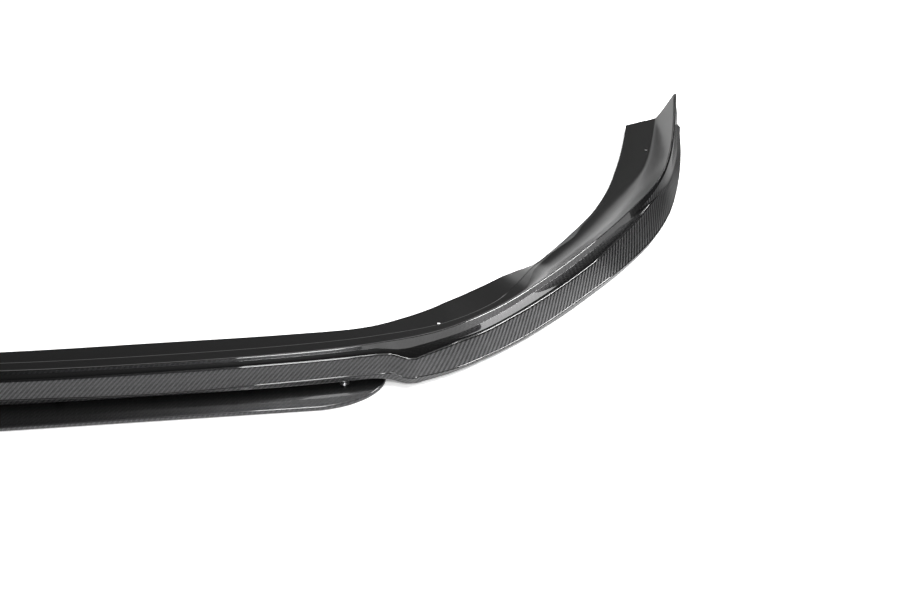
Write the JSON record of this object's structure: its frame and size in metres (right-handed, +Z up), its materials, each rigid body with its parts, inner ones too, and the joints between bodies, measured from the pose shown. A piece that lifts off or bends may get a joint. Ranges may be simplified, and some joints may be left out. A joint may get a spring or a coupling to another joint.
{
  "type": "front splitter lip",
  "caption": "Wide curved front lip moulding for a car, with a screwed-on lower centre blade, upper seat flange and end tabs.",
  "frame": {"origin": "on the middle plane, on the ground that the lip rests on, under the centre blade", "axes": "+X to the car's left side, -Y to the front of the car, +Z up"},
  "size_m": [1.8026, 0.6384, 0.0635],
  "materials": {
    "panel_laminate": "twill laminate under clear gloss, plain black inside",
    "blade_laminate": "twill laminate under clear gloss",
    "sleeve_metal": "turned",
    "screw_metal": "zinc plated",
    "washer_metal": "zinc plated",
    "nut_metal": "zinc plated"
  },
  "bodies": {
    "root": {"lip_panel": "panel_laminate", "centre_blade": "blade_laminate", "blade_sleeves": "sleeve_metal", "blade_screws": "screw_metal", "blade_washers": "washer_metal", "blade_nuts": "nut_metal"}
  },
  "joints": []
}
